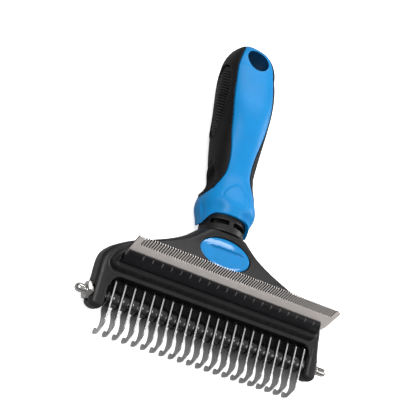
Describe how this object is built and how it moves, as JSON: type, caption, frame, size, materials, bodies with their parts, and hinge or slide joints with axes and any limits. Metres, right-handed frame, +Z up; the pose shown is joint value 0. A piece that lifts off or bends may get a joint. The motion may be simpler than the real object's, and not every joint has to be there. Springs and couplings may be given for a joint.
{
  "type": "undercoat rake",
  "caption": "Two-sided grooming head, curved rake blades below a fine comb, on a contoured grip handle with a push button and a hanging hole.",
  "frame": {"origin": "centre of the bounding box's underside, with the tool lying on its back on a table", "axes": "+X along the blade rod, to the right seen from the front; +Y along the handle, away from the blades; +Z up, out of the front where the comb and the button are"},
  "size_m": [0.1308, 0.1686, 0.0393],
  "materials": {
    "polished_blade": "polished edges, satin sides",
    "spacer_gloss": "glossy black",
    "chrome": "bright plated",
    "frame_black": "satin black",
    "comb_steel": "fine ground",
    "clamp_gloss": "semi-gloss black",
    "button_blue": "high gloss",
    "spring_wire": "drawn wire",
    "handle_blue": "satin gloss",
    "soft_grip": "matt overmould",
    "ribbed_pad": "matt, ribbed"
  },
  "bodies": {
    "rake": {"rake_blade_01": "polished_blade", "rake_blade_02": "polished_blade", "rake_blade_03": "polished_blade", "rake_blade_04": "polished_blade", "rake_blade_05": "polished_blade", "rake_blade_06": "polished_blade", "rake_blade_07": "polished_blade", "rake_blade_08": "polished_blade", "rake_blade_09": "polished_blade", "rake_blade_10": "polished_blade", "rake_blade_11": "polished_blade", "rake_blade_12": "polished_blade", "rake_blade_13": "polished_blade", "rake_blade_14": "polished_blade", "rake_blade_15": "polished_blade", "rake_blade_16": "polished_blade", "rake_blade_17": "polished_blade", "rake_blade_18": "polished_blade", "rake_blade_19": "polished_blade", "rake_blade_20": "polished_blade", "rake_blade_21": "polished_blade", "rake_blade_22": "polished_blade", "spacer_01": "spacer_gloss", "spacer_02": "spacer_gloss", "spacer_03": "spacer_gloss", "spacer_04": "spacer_gloss", "spacer_05": "spacer_gloss", "spacer_06": "spacer_gloss", "spacer_07": "spacer_gloss", "spacer_08": "spacer_gloss", "spacer_09": "spacer_gloss", "spacer_10": "spacer_gloss", "spacer_11": "spacer_gloss", "spacer_12": "spacer_gloss", "spacer_13": "spacer_gloss", "spacer_14": "spacer_gloss", "spacer_15": "spacer_gloss", "spacer_16": "spacer_gloss", "spacer_17": "spacer_gloss", "spacer_18": "spacer_gloss", "spacer_19": "spacer_gloss", "spacer_20": "spacer_gloss", "spacer_21": "spacer_gloss", "spacer_22": "spacer_gloss", "spacer_23": "spacer_gloss", "rake_rod": "chrome", "nut_left": "chrome", "nut_right": "chrome", "head_frame": "frame_black", "neck_collar": "frame_black", "comb_blade": "comb_steel", "comb_clamp": "clamp_gloss", "button_spring": "spring_wire", "handle_core": "handle_blue", "handle_grip": "soft_grip", "grip_pad_left": "ribbed_pad", "grip_pad_right": "ribbed_pad"},
    "button": {"button": "button_blue"}
  },
  "joints": [
    {"name": "button_press", "type": "slide", "parent": "rake", "child": "button", "axis": [0, 0, -1], "range_m": [0, 0.002], "stiffness_N_per_m": 600, "springref_m": -0.001, "deforming": ["button_spring"]}
  ]
}
